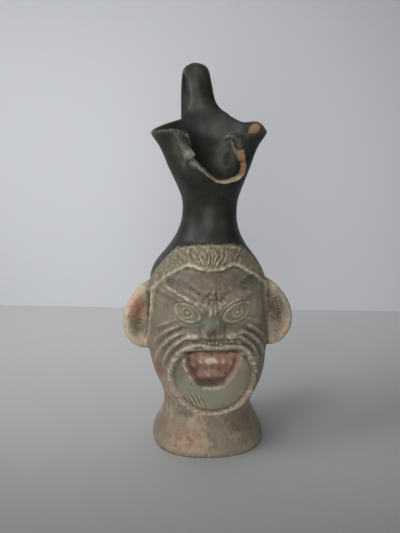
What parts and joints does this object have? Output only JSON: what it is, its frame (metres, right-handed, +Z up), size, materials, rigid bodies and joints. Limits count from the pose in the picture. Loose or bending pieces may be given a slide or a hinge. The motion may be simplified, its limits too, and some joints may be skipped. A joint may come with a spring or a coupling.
{
  "type": "figural oinochoe",
  "caption": "Fired-clay jug for pouring wine, with a moulded comic-mask head for its body, a thrown neck, a pinched lip with its spout broken off, and a high strap handle.",
  "frame": {"origin": "centre of the flat underside, on the floor under the jug's axis", "axes": "+Z up the neck, the moulded face looks towards -Y, +X is on the viewer's right when facing it"},
  "size_m": [0.099, 0.0962, 0.2202],
  "materials": {
    "fired_clay": "worn buff clay with olive patina below, satin black glaze on the neck, lip and handle"
  },
  "bodies": {
    "root": {"oinochoe": "fired_clay"}
  },
  "joints": []
}
